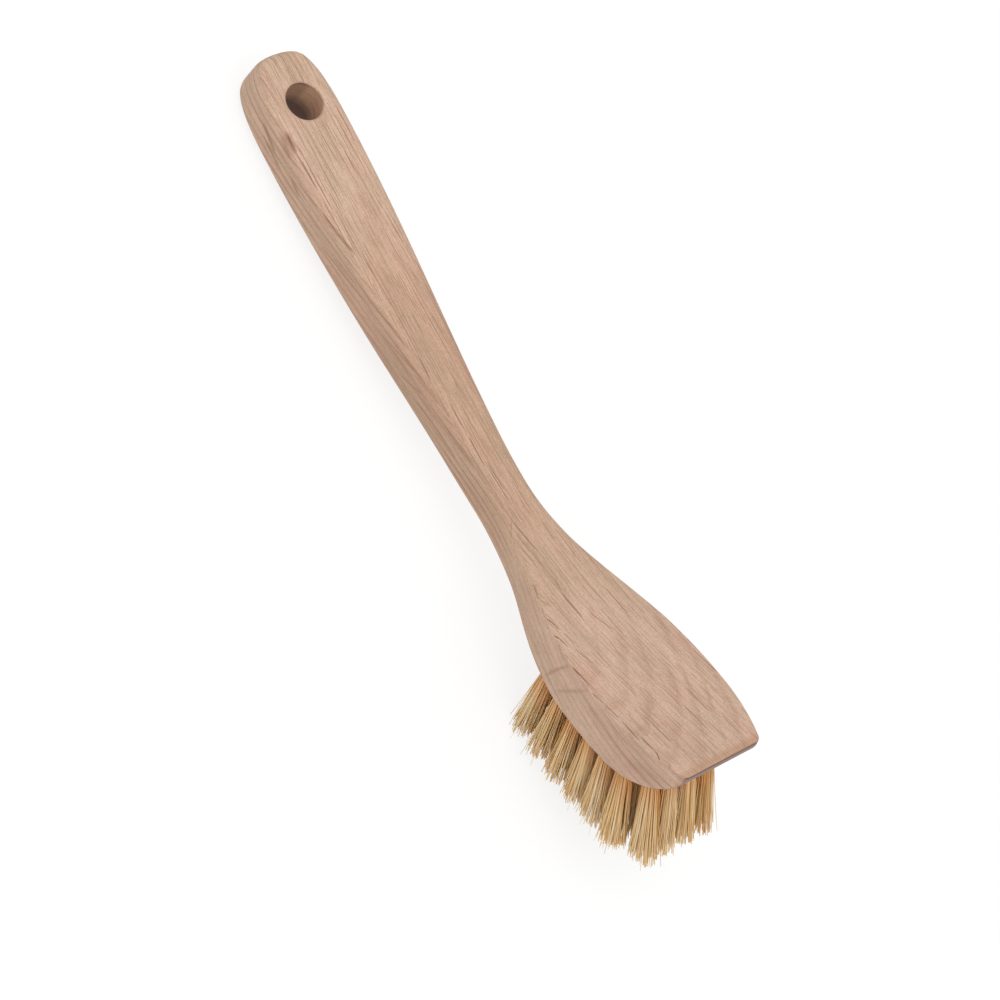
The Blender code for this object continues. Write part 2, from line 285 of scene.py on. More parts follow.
# A drill for each hole, and a slot across it for the anchor
def drillCutters():
    depth = wood["headThickness"] * tufts["drillDepthShare"]
    length = tufts["drillDiameter"] + 2 * (tufts["anchorBite"] + tufts["gap"])
    size = (length, tufts["anchorThickness"] + 2 * tufts["gap"], tufts["anchorHeight"] + 2 * tufts["gap"])
    turn = Matrix.Rotation(tufts["anchorTurn"], 4, "Z")
    seat = Matrix.Translation((0, 0, anchorLevel())) @ turn @ Matrix.Diagonal((*size, 1))
    middle = Matrix.Translation((0, 0, (wood["cutOverrun"] - depth) / 2))
    radius = tufts["drillDiameter"] / 2
    cutters = []
    for row, column, across, along in tuftPlaces():
        place = tuftFrame(across, along)
        shape = bmesh.new()
        bmesh.ops.create_cone(
            shape, cap_ends=True, segments=tufts["drillSides"], radius1=radius, radius2=radius,
            depth=depth + wood["cutOverrun"], matrix=place @ middle)
        cutters.append(newObject(f"cutDrill{row}{column}", meshFrom(shape, "cutDrill")))
        shape = bmesh.new()
        bmesh.ops.create_cube(shape, size=1, matrix=place @ seat)
        cutters.append(newObject(f"cutSeat{row}{column}", meshFrom(shape, "cutSeat")))
    return cutters


# The plank that the brush was sawn from: its grain climbs towards the handle, and its growth rings curve over
# a pith that lies below the bristles. All in millimetres of the head's frame.
plank = {
    "grainSlope": math.radians(14.0), "pithAcross": -17.0, "pithBelow": 51.0, "otherSide": 37.0,
    "headLean": math.radians(4.5), "gripLean": math.radians(1.0), "leanFrom": 55.0, "leanUntil": 130.0,
    "leanSteps": 400,
}


def storeVectors(mesh, name, *parts):
    values = np.stack(np.broadcast_arrays(*parts), axis=1).astype(np.float32)
    mesh.attributes.new(name, "FLOAT_VECTOR", "POINT").data.foreach_set("vector", values.ravel())


# Stores at each vertex the places and directions that the oak's finish is drawn from
def storeGrain(mesh):
    points, normals = np.zeros(len(mesh.vertices) * 3), np.zeros(len(mesh.vertices) * 3)
    mesh.vertices.foreach_get("co", points)
    mesh.vertex_normals.foreach_get("vector", normals)
    x, y, z = points.reshape(-1, 3).T
    normalX, normalY, normalZ = normals.reshape(-1, 3).T
    slope = plank["grainSlope"]
    plankY = y * math.cos(slope) + z * math.sin(slope)
    plankZ = z * math.cos(slope) - y * math.sin(slope) + plank["pithBelow"]
    storeVectors(mesh, "plankPlace", x - plank["pithAcross"], plankY, plankZ)
    # the grain on the sides, which follows the plank, another stretch of it on the right than on the left
    storeVectors(mesh, "sideGrain", plankZ + plank["otherSide"] * (x > 0), plankY, 0.0)
    # across, along the back, and below it
    radius = wood["bendLength"] / wood["bendAngle"]
    turned = np.clip(np.arctan2(y - wood["headStraight"], radius - z), 0, wood["bendAngle"])
    cosine, sine = np.cos(turned), np.sin(turned)
    arcY = wood["headStraight"] + radius * sine
    arcZ = radius * (1 - cosine)
    along = wood["headStraight"] + radius * turned + (y - arcY) * cosine + (z - arcZ) * sine
    storeVectors(mesh, "backPlace", x, along, (z - arcZ) * cosine - (y - arcY) * sine)
    # how far each point faces to the side, to the end and up
    storeVectors(mesh, "facing", normalX, normalY * cosine + normalZ * sine,
                 normalZ * cosine - normalY * sine)
    # the grain as it runs over the top: it leans to the left on the head and straightens on the handle
    steps = np.linspace(along.min(), along.max(), plank["leanSteps"])
    ends, leans = (plank["leanFrom"], plank["leanUntil"]), (plank["headLean"], plank["gripLean"])
    slopes = np.tan(np.interp(steps, ends, leans))
    drift = np.cumsum((slopes[1:] + slopes[:-1]) / 2 * np.diff(steps))
    shift = np.interp(along, steps, np.concatenate(([0.0], drift)))
    storeVectors(mesh, "topGrain", x + shift, along, 0.0)
    # how deep each point of the hanging hole's wall lies, which grades the painted light and shade on that
    # wall
    hole = np.array(backFrame(wood["length"] - wood["holeFromEnd"]).inverted())
    holeX, holeY, holeZ, _ = hole @ np.stack((x, y, z, np.ones_like(x)))
    onWall = np.hypot(holeX, holeY) < (wood["holeDiameter"] + wood["holeRim"]) / 2
    depths = np.where(onWall, np.maximum(-holeZ, 0), 0).astype(np.float32)
    mesh.attributes.new("boreDepth", "FLOAT", "POINT").data.foreach_set("value", depths)


def makeBody():
    blank = skinned("woodBlank", [sectionAt(along) for along in stations()])
    cutters = [hangingHoleCutter()] + drillCutters()
    group = bpy.data.collections.new("cutters")
    bpy.context.scene.collection.children.link(group)
    for cutter in cutters:
        bpy.context.scene.collection.objects.unlink(cutter)
        group.objects.link(cutter)
    cut = blank.modifiers.new("cut", "BOOLEAN")
    cut.operand_type = "COLLECTION"
    cut.collection = group
    mesh = bpy.data.meshes.new_from_object(blank.evaluated_get(bpy.context.evaluated_depsgraph_get()))
    for item in cutters + [blank]:
        bpy.data.objects.remove(item)
    bpy.data.collections.remove(group)
    mesh.name = "oakBody"
    storeGrain(mesh)
    mesh.transform(toRow)
    mesh.shade_smooth()
    mesh.set_sharp_from_angle(angle=wood["sharpFrom"])
    return newObject("oak_body", mesh)


# The fibres of one tuft, in millimetres. They gather into clumps, and a few fly away. Tones go from 0, the
# brownest, to 1. A fibre facing into the brush is painted browner, as painted shade between the tufts; near
# the wood it is browner, partly its own colour and partly painted shade. The rear rows are painted lighter, a
# painted light against the shade under the head.
fibres = {
    "seed": 11, "folded": 88, "radius": 0.172, "radiusSpread": 0.03, "thinnest": 0.6, "tipShare": 0.75,
    "sides": 5, "freeSteps": 5, "foldSteps": 4, "foldShift": 0.1, "packing": 0.95, "goldenAngle": 2.39996,
    "raggedness": 0.48, "stray": 0.45, "bend": 0.24, "flare": 0.25,
    "flyaways": 0.04, "flyawayReach": (1.35, 4.5), "sharpFrom": math.radians(80),
    "clumps": 6, "clumpTurn": 0.3, "middleClump": 0.15, "outerClumps": (0.62, 0.85), "clumpPull": 0.15,
    "clumpStep": 0.7, "frontTone": 0.72, "rearPaintedLightTone": 0.79, "inwardShadeTone": 0.18, "inwardShadeReach": 0.2,
    "tuftToneSpread": 0.03, "clumpToneSpread": 0.08, "toneSpread": 0.13,
}


# One closed tube along a path of points, with a radius for each
def addTube(points, radii, verts, faces):
    first, sides = len(verts), fibres["sides"]
    normal = None
    for step, point in enumerate(points):
        ahead = points[min(step + 1, len(points) - 1)] - points[max(step - 1, 0)]
        ahead.normalize()
        if normal is None:
            normal = ahead.orthogonal()
        normal = (normal - ahead * normal.dot(ahead)).normalized()
        other = ahead.cross(normal)
        for side in range(sides):
            angle = math.tau * side / sides
            verts.append(point + (normal * math.cos(angle) + other * math.sin(angle)) * radii[step])
    for step in range(len(points) - 1):
        low = first + step * sides
        for side in range(sides):
            following = (side + 1) % sides
            faces.append((low + side, low + following, low + sides + following, low + sides + side))
    faces.append(tuple(first + side for side in reversed(range(sides))))
    faces.append(tuple(first + (len(points) - 1) * sides + side for side in range(sides)))


def nearestClump(clumps, point):
    return min(clumps, key=lambda clump: (clump["middle"] - Vector((point.x, point.y, 0))).length)


# Points of one free end, from the hole's mouth to its tip, with their radii
def freeEnd(root, place, clumps, radius, dice):
    foot = Vector((root.x, root.y, 0))
    spread = foot * tufts["spread"]
    clump = nearestClump(clumps, spread)
    tip = spread.lerp(clump["middle"], fibres["clumpPull"])
    tip += Vector((dice.gauss(0, 1), dice.gauss(0, 1), 0)) * fibres["stray"]
    short = clump["short"] + abs(dice.gauss(0, fibres["raggedness"]))
    if dice.random() < fibres["flyaways"]:
        tip += tip.normalized() * dice.uniform(*fibres["flyawayReach"])
        short = 0.0
        radius = radius * fibres["thinnest"]
    bend = Vector((dice.gauss(0, 1), dice.gauss(0, 1), 0)) * fibres["bend"]
    tipPlace = place @ tip
    tip.x -= math.copysign(max(abs(tipPlace.x) - tufts["widest"], 0.0), tipPlace.x)
    # trimmed at one level below the head, and nowhere lower than the floor
    out = place.to_3x3() @ Vector((0, 0, 1))
    length = (short - wood["headThickness"] - tufts["reach"] - tufts["overlong"] - tipPlace.z) / out.z
    aboveFloor = (toRow @ tipPlace).z - radius * mm
    length = min(length, -aboveFloor / (toRow.to_3x3() @ out).z)
    points, radii = [], []
    for step in range(fibres["freeSteps"] + 1):
        share = step / fibres["freeSteps"]
        side = foot.lerp(tip, between(share, share ** 2, fibres["flare"])) + bend * math.sin(math.pi * share)
        points.append(Vector((side.x, side.y, length * share)))
        radii.append(radius * between(1, fibres["tipShare"], share))
    return points, radii


# The loose clumps that a tuft's fibres gather into, one in its middle and the rest round it
def tuftClumps(inner, dice):
    clumps = []
    start = dice.uniform(0, math.tau)
    for index in range(fibres["clumps"]):
        turn = dice.uniform(-fibres["clumpTurn"], fibres["clumpTurn"])
        angle = start + math.tau * index / fibres["clumps"] + turn
        share = fibres["middleClump"] if index == 0 else dice.uniform(*fibres["outerClumps"])
        away = inner * tufts["spread"] * share
        clumps.append({"middle": Vector((away * math.cos(angle), away * math.sin(angle), 0)),
                       "short": dice.uniform(0, fibres["clumpStep"]),
                       "tone": dice.gauss(0, fibres["clumpToneSpread"])})
    return clumps


# The bend of one fibre under its anchor, from one side to the other. The outer fibres sag the most.
def foldUnderAnchor(roots, sag):
    half = tufts["anchorHeight"] / 2 + tufts["gap"]
    above = [Vector((root.x, root.y, anchorLevel() + half)) for root in roots]
    below = [Vector((root.x, root.y, anchorLevel() - half)) for root in roots]
    points = [above[0], below[0]]
    for step in range(1, fibres["foldSteps"]):
        share = step / fibres["foldSteps"]
        point = below[0].lerp(below[1], sway(share))
        point.z -= sag * math.sin(math.pi * share)
        points.append(point)
    return points + [below[1], above[1]]


# One tuft of folded fibres. Those that face into the brush, away from the outward direction, are painted
# browner: painted shade between the tufts.
def tuftMesh(place, outward, tone, dice):
    verts, faces, tones, reaches = [], [], [], []
    inner = tufts["drillDiameter"] / 2 * fibres["packing"] - fibres["radius"]
    turn = Matrix.Rotation(tufts["anchorTurn"], 3, "Z")
    clumps = tuftClumps(inner, dice)
    tuftTone = dice.gauss(tone, fibres["tuftToneSpread"])
    for index in range(fibres["folded"]):
        away = inner * math.sqrt((index + 0.5) / fibres["folded"])
        angle = (index * fibres["goldenAngle"]) % math.pi
        across, beside = away * math.cos(angle), max(away * math.sin(angle), tufts["anchorThickness"])
        shift = dice.uniform(-fibres["foldShift"], fibres["foldShift"])
        roots = [turn @ Vector((across, beside, 0)), turn @ Vector((across + shift, -beside, 0))]
        radius = dice.gauss(fibres["radius"], fibres["radiusSpread"])
        radius = max(radius, fibres["thinnest"] * fibres["radius"])
        (nearPoints, nearRadii), (farPoints, farRadii) = (
            freeEnd(root, place, clumps, radius, dice) for root in roots)
        fold = foldUnderAnchor(roots, (tufts["foldThickness"] - tufts["gap"]) * beside / inner)
        path = nearPoints[::-1] + fold + farPoints
        radii = nearRadii[::-1] + [radius] * len(fold) + farRadii
        addTube([place @ point for point in path], radii, verts, faces)
        fibreTone = dice.gauss(0, fibres["toneSpread"])
        halves = []
        for root, tip in zip(roots, (nearPoints[-1], farPoints[-1])):
            inwards = 1 - max(root.dot(outward) / inner, 0)
            # painted shade: a fibre end that faces into the brush is made browner, and its root tint reaches
            # further
            shade = tuftTone + nearestClump(clumps, tip)["tone"] + fibreTone - fibres["inwardShadeTone"] * inwards
            halves.append((min(max(shade, 0.0), 1.0), fibres["inwardShadeReach"] * inwards))
        for step, point in enumerate(path):
            shade, lowered = halves[0 if step < len(path) / 2 else 1]
            tones += [shade] * fibres["sides"]
            reaches += [max(point.z, 0) / tufts["reach"] - lowered] * fibres["sides"]
    mesh = bpy.data.meshes.new("fibreTuft")
    mesh.from_pydata([tuple(vert) for vert in verts], [], faces)
    for name, values in (("fibreTone", tones), ("fibreReach", reaches)):
        mesh.attributes.new(name, "FLOAT", "POINT").data.foreach_set("value", values)
    mesh.transform(toRow)
    mesh.shade_smooth()
    mesh.set_sharp_from_angle(angle=fibres["sharpFrom"])
    return mesh


def linear(hexColour):  # sRGB hex to the linear colour that shaders take
    parts = [int(hexColour[start:start + 2], 16) / 255 for start in (1, 3, 5)]
    return (*(part / 12.92 if part <= 0.04045 else ((part + 0.055) / 1.055) ** 2.4 for part in parts), 1.0)


# Settings of a Map Range that eases at both ends, and of a Mix of colours
easing = {"interpolation_type": "SMOOTHSTEP"}
colourMix = {"out": 2, "data_type": "RGBA"}


# Adds a node with its settings, its ramp's stops and its inputs, each a value or a link, and gives one of its
# outputs. Inputs are named, or stand in the node's own order: a Map Range takes value, from min, from max,
# to min, to max, and a Mix has its share at 0, its numbers at 2 and 3 and its colours at 6 and 7.
def addNode(tree, kind, inputs=(), out=0, stops=(), **settings):
    node = tree.nodes.new("ShaderNode" + kind)
    for name, value in settings.items():
        setattr(node, name, value)
    if stops:
        ramp = node.color_ramp.elements
        while len(ramp) < len(stops):
            ramp.new(0.5)
        for element, (place, colour) in zip(ramp, stops):
            element.position = place
            element.color = linear(colour) if isinstance(colour, str) else (colour, colour, colour, 1.0)
    for name, value in (inputs if isinstance(inputs, dict) else dict(enumerate(inputs))).items():
        if isinstance(value, bpy.types.NodeSocket):
            tree.links.new(value, node.inputs[name])
        else:
            node.inputs[name].default_value = value
    return node.outputs[out]


def newMaterial(name):
    material = bpy.data.materials.new(name)
    material.use_nodes = True
    tree = material.node_tree
    return material, tree, tree.nodes["Principled BSDF"]


# Oak, sawn from a plank, sanded and lightly oiled: pale tan with a pinkish cast. Cut vessels show as short
# dark dashes along the grain, growth lines as soft brown lines on the sides and as faint bands on the top.
# The sheen is low and even. Patterns are in millimetres: across the grain, along it and below it.
oakFinish = {
    "light": "#D6B79F", "middle": "#CDAE95", "line": "#AD8A72", "pink": "#C9A08A", "grey": "#C0A88C",
    # the hanging hole's wall takes a warmer tint near its rim, partly painted light, and painted shade deeper
    # in
    "pore": "#7B533B", "endGrain": "#8D6A52", "drilledAndLitWall": "#DDB08A", "boreShade": "#5E321D",
    "mark": "#8C614B", "mineral": "#80503A", "seam": "#70492F",
    # at the head's front, the dark line along the rounded edge and the mauve grey face under it are painted
    # shade
    "margin": "#AD7F5C", "edge": "#5E4034", "front": "#967C74",
    "drift": (8.0, 26.0, 8.0), "wobble": (5.0, 45.0, 1.0), "wobbleReach": 0.4,
    "vessel": (0.3, 30.0, 1.0), "fleck": (0.28, 1.8, 1.0), "streak": (2.2, 70.0, 1.0),
    "speckle": 0.38, "dot": 0.6, "roughness": 0.6, "ior": 1.47, "relief": 0.05, "reliefStrength": 0.4,
}

# How the oak's patterns are graded: a value's start and end, then mostly what it gives at each
oakRanges = {
    "onTop": (0.45, 0.9), "onTip": (0.6, 0.95), "frontFaceShade": (-0.6, -0.9), "frontMargin": (1.8, 4.0, 0.45, 0.0),
    "ringsOnHandle": (60.0, 110.0, 1.0, 0.45), "ringPatches": (0.35, 0.62, 0.35, 1.0),
    "vessels": (0.32, 0.44), "vesselsOnHandle": (60.0, 110.0, 0.3, 0.6), "drifts": (0.42, 0.72, 0.0, 0.55),
    "streakTone": (0.25, 0.75, 0.86, 1.16), "speckTone": (0.25, 0.75, 0.8, 1.2),
    "dots": (0.15, 0.35, 0.55, 0.25),
}

# A tint along the brush, which makes the middle of the handle browner
oakTint = ((0.0, "#F7F3F4"), (0.22, "#FBF7F8"), (0.29, "#F7F2F0"), (0.38, "#F0E9E4"), (0.6, "#EDE4DE"),
           (0.7, "#F8F0EC"), (0.82, "#FFFCFB"), (1.0, "#FCF9F7"))

# The growth rings: width and waviness in millimetres, and how strong a ring is from its start to its end,
# where it is cut on the sides and where it lies on the top. They are weaker where the bend starts.
oakRings = {
    "width": 2.8, "waveSize": (12.0, 55.0, 12.0), "wave": (2.8, 0.0, 2.8), "unevenSize": 4.762, "uneven": 0.7,
    "patch": (9.0, 30.0, 6.0),
    "onSides": ((0.0, 0.38), (0.12, 0.08), (0.5, 0.1), (0.7, 0.4), (0.82, 1.0), (0.9, 0.9), (1.0, 0.38)),
    "onTop": ((0.0, 0.12), (0.3, 0.05), (0.55, 0.3), (0.8, 0.62), (0.92, 0.5), (1.0, 0.12)),
    "alongBrush": ((0.16, 1.0), (0.24, 0.5), (0.34, 0.6), (0.44, 1.0)),
}

# The cut vessels: the cells they lie in, and the dash in each, in millimetres. They are drawn a little wide
# so that they show. Each fades at its sides and ends, over shares of its half width and half length.
oakPores = (
    {"cell": (1.0, 11.0, 1.0), "halfWidth": 0.075, "halfLength": 4.3, "present": 0.8, "strength": 0.8},
    {"cell": (0.65, 4.5, 1.0), "halfWidth": 0.065, "halfLength": 1.7, "present": 0.5, "strength": 0.5},
    {"cell": (4.5, 26.0, 1.0), "halfWidth": 0.11, "halfLength": 6.5, "present": 0.45, "strength": 0.9},
)
poreFade = {"sides": (0.5, 1.5), "ends": (0.55, 1.0), "faintest": 0.35}

# Single growth lines and stains, in millimetres: start and end (across and along the top, or along the left
# side and below the back), how far the middle stands off the straight line, half width, strength. Thin lines
# are crisp, wide stains fade out from their middle.
oakMarks = {
    ("top", "seam"): (
        ((-16.0, 6.9), (-17.0, 4.1), 0.0, 0.25, 0.5), ((-16.9, 12.4), (-18.3, 8.3), 0.45, 0.25, 0.9),
        ((-17.2, 18.6), (-16.9, 12.0), 0.0, 0.22, 0.9), ((-18.6, 26.2), (-18.5, 17.0), 0.0, 0.28, 0.8),
        ((-19.4, 32.9), (-18.6, 26.0), 0.0, 0.28, 0.7), ((-19.9, 38.0), (-19.4, 32.7), 0.0, 0.25, 0.7),
        ((-19.0, 45.0), (-18.9, 40.0), 0.0, 0.28, 0.6), ((-19.3, 48.4), (-19.0, 43.6), 0.0, 0.3, 0.85),
        ((-14.6, 53.2), (-12.5, 45.6), 0.0, 0.2, 0.6), ((-13.9, 58.9), (-13.4, 54.0), 0.0, 0.2, 0.5),
        ((-17.2, 60.2), (-16.0, 54.0), 0.3, 0.26, 0.7), ((-2.2, 62.2), (1.1, 52.3), 0.0, 0.2, 0.6),
        ((-15.7, 66.1), (-14.7, 60.0), 0.3, 0.26, 0.65), ((-5.9, 71.8), (-5.0, 60.6), 0.0, 0.25, 0.65),
        ((-4.6, 76.3), (-5.7, 70.5), 0.0, 0.2, 0.5), ((-14.2, 70.0), (-15.5, 66.2), 0.0, 0.3, 0.6),
        ((-13.4, 71.8), (-12.0, 68.3), 0.0, 0.2, 0.4), ((-11.6, 77.5), (-13.4, 72.0), 0.0, 0.25, 0.6),
        ((-4.1, 85.0), (-5.9, 98.0), 0.0, 0.2, 0.85), ((-9.9, 90.0), (-5.8, 98.0), 0.2, 0.2, 0.5),
        ((-2.5, 106.5), (-2.9, 117.5), 0.0, 0.2, 0.8), ((-4.3, 116.0), (-4.3, 127.0), 0.1, 0.2, 0.8),
        ((-4.6, 129.0), (-4.9, 139.0), 0.0, 0.2, 0.7), ((-6.8, 146.5), (-6.8, 155.5), 0.0, 0.2, 0.7),
        ((-8.6, 160.0), (-9.1, 164.0), 0.0, 0.2, 0.5), ((-6.5, 169.0), (-8.2, 193.0), 0.0, 0.18, 0.6),
        ((-10.7, 181.0), (-10.9, 197.0), 0.0, 0.18, 0.6), ((-11.4, 228.5), (-10.8, 214.0), 0.0, 0.24, 0.75),
    ),
    ("left", "mark"): (
        ((56.0, -16.6), (48.2, 0.4), -0.7, 0.9, 0.42), ((51.0, -16.6), (38.6, -0.4), -0.5, 0.95, 0.32),
        ((223.5, -7.4), (216.0, -8.8), 0.0, 1.2, 0.45), ((236.0, -1.4), (226.5, -3.4), 0.0, 1.8, 0.45),
        ((221.0, -5.8), (209.0, -2.4), 0.2, 0.35, 0.5), ((209.0, -2.3), (191.0, -0.4), 0.2, 0.35, 0.6),
        ((202.0, -11.8), (174.0, -4.9), 0.3, 0.35, 0.55), ((167.5, -7.9), (150.5, -2.5), -0.3, 0.35, 0.55),
        ((155.5, -11.2), (144.0, -4.8), 0.2, 0.35, 0.5), ((147.5, -11.2), (121.5, -6.7), -0.7, 0.35, 0.5),
        ((3.0, -6.0), (19.0, -10.0), 0.0, 4.5, 0.3), ((36.0, -0.8), (17.0, -5.0), 0.0, 0.5, 0.5),
    ),
    ("left", "mineral"): (
        ((230.5, -9.4), (243.0, -7.1), 0.2, 1.2, 0.62), ((226.0, -10.6), (240.0, -10.2), -0.2, 0.6, 0.7),
    ),
    ("top", "mineral"): (((-11.1, 235.0), (-11.6, 226.6), 0.0, 0.9, 1.0),),
}
markFade = {"crispUnder": 0.5, "crispFrom": 0.4, "until": 1.15}


# The growth rings' colour: distance from the pith, bent a little by slow noise, gives lines on the sides and
# bands on the top
def addRings(tree, plankPlace, backPlace, along, onTop):
    slow = addNode(tree, "VectorMath", (plankPlace, oakRings["waveSize"]), operation="DIVIDE")
    wave = addNode(tree, "TexNoise", {"Vector": slow, "Scale": 1.0, "Detail": 2.0, "Roughness": 0.45},
                   out="Color")
    centred = addNode(tree, "VectorMath", (wave, (0.5, 0.5, 0.5)), operation="SUBTRACT")
    swing = addNode(tree, "VectorMath", (centred, oakRings["wave"], plankPlace), operation="MULTIPLY_ADD")
    flat = addNode(tree, "VectorMath", (swing, (1, 0, 1)), operation="MULTIPLY")
    radius = addNode(tree, "VectorMath", (flat,), out="Value", operation="LENGTH")
    uneven = addNode(tree, "TexNoise", {"W": radius, "Scale": 1 / oakRings["unevenSize"], "Detail": 1.0},
                     noise_dimensions="1D")
    count = addNode(tree, "Math", (radius, 1 / oakRings["width"]), operation="MULTIPLY")
    count = addNode(tree, "Math", (uneven, oakRings["uneven"], count), operation="MULTIPLY_ADD")
    phase = addNode(tree, "Math", (count,), operation="FRACT")
    lines = addNode(tree, "ValToRGB", (phase,), stops=oakRings["onSides"])
    bands = addNode(tree, "ValToRGB", (phase,), stops=oakRings["onTop"])
    calmer = addNode(tree, "MapRange", (along, *oakRanges["ringsOnHandle"]))
    bands = addNode(tree, "Math", (bands, calmer), operation="MULTIPLY")
    shown = addNode(tree, "Mix", {0: onTop, 2: lines, 3: bands})
    # weaker in patches, and along the brush
    patch = addNode(tree, "VectorMath", (backPlace, oakRings["patch"]), operation="DIVIDE")
    patch = addNode(tree, "TexNoise", {"Vector": patch, "Scale": 1.0, "Detail": 1.0})
    patch = addNode(tree, "MapRange", (patch, *oakRanges["ringPatches"]))
    share = addNode(tree, "Math", (along, 1 / wood["length"]), operation="MULTIPLY")
    for weaker in (patch, addNode(tree, "ValToRGB", (share,), stops=oakRings["alongBrush"])):
        shown = addNode(tree, "Math", (shown, weaker), operation="MULTIPLY")
    return addNode(tree, "ValToRGB", (shown,), stops=(
        (0.0, oakFinish["light"]), (0.3, oakFinish["middle"]), (1.0, oakFinish["line"])))


# How strongly the dash in each cell shows at a point: most in a cut vessel, 0 beside it
def addPores(tree, place, pores):
    scaled = addNode(tree, "VectorMath", (place, pores["cell"]), operation="DIVIDE")
    cells = addNode(tree, "TexVoronoi", {"Vector": scaled, "Scale": 1.0}, voronoi_dimensions="2D")
    cells = cells.node.outputs
    off = addNode(tree, "VectorMath", (scaled, cells["Position"]), operation="SUBTRACT")
    off = addNode(tree, "VectorMath", (off,), operation="ABSOLUTE")
    off = addNode(tree, "SeparateXYZ", (off,)).node.outputs
    chance = addNode(tree, "SeparateColor", (cells["Color"],))
    absent, strength = 1 - pores["present"], pores["strength"]
    shown = addNode(tree, "MapRange", (chance, absent, 1.0, poreFade["faintest"] * strength, strength))
    shares = [addNode(tree, "Math", (chance, absent), operation="GREATER_THAN")]
    for axis, fade, size in ((0, "sides", "halfWidth"), (1, "ends", "halfLength")):
        first, last = (share * pores[size] / pores["cell"][axis] for share in poreFade[fade])
        shares.append(addNode(tree, "MapRange", (off[axis], first, last, 1.0, 0.0), **easing))
    for share in shares:
        shown = addNode(tree, "Math", (shown, share), operation="MULTIPLY")
    return shown


# The fine grain as it runs over one face: its light and dark streaks, and how strongly its vessels show
def addGrain(tree, place, along):
    wobble = addNode(tree, "VectorMath", (place, oakFinish["wobble"]), operation="DIVIDE")
    wobble = addNode(tree, "TexNoise", {"Vector": wobble, "Scale": 1.0, "Detail": 1.0}, out="Color")
    bent = addNode(tree, "VectorMath", (wobble, (oakFinish["wobbleReach"], 0.0, 0.0), place),
                   operation="MULTIPLY_ADD")
    textures = {}
    for kind in ("vessel", "fleck", "streak"):
        fine = addNode(tree, "VectorMath", (bent, oakFinish[kind]), operation="DIVIDE")
        textures[kind] = addNode(tree, "TexNoise", {
            "Vector": fine, "Scale": 1.0, "Detail": 1.5, "Distortion": 0.6}, noise_dimensions="2D")
    flecks = addNode(tree, "Math", (textures["fleck"], 0.5, 0.1), operation="MULTIPLY_ADD")
    streaks = addNode(tree, "Math", (textures["streak"], 0.3, flecks), operation="MULTIPLY_ADD")
    bolder = addNode(tree, "MapRange", (along, *oakRanges["vesselsOnHandle"]))
    vessels = addNode(tree, "MapRange", (textures["vessel"], *oakRanges["vessels"], bolder, 0.0))
    for pores in oakPores:
        vessels = addNode(tree, "Math", (vessels, addPores(tree, bent, pores)), operation="MAXIMUM")
    return streaks, vessels


# How strongly one growth line or stain shows at a place on its face of the wood
def addMark(tree, place, start, end, bow, halfWidth, strength):
    middle, run = (Vector(start) + Vector(end)) / 2, Vector(end) - Vector(start)
    local = addNode(tree, "Mapping", {
        "Vector": place, "Location": (*middle, 0.0), "Rotation": (0.0, 0.0, math.atan2(run.y, run.x)),
        "Scale": (run.length / 2, halfWidth, 1.0)}, vector_type="TEXTURE")
    parts = addNode(tree, "SeparateXYZ", (local,)).node.outputs
    squared = addNode(tree, "Math", (parts["X"], parts["X"]), operation="MULTIPLY")
    bowed = addNode(tree, "Math", (squared, bow / halfWidth, parts["Y"]), operation="MULTIPLY_ADD")
    bowed = addNode(tree, "Math", (bowed, bow / halfWidth), operation="SUBTRACT")
    away = addNode(tree, "CombineXYZ", (squared, bowed))
    away = addNode(tree, "VectorMath", (away,), out="Value", operation="LENGTH")
    fadeFrom = markFade["crispFrom"] if halfWidth < markFade["crispUnder"] else 0.0
    return addNode(tree, "MapRange", (away, fadeFrom, markFade["until"], strength, 0.0), **easing)


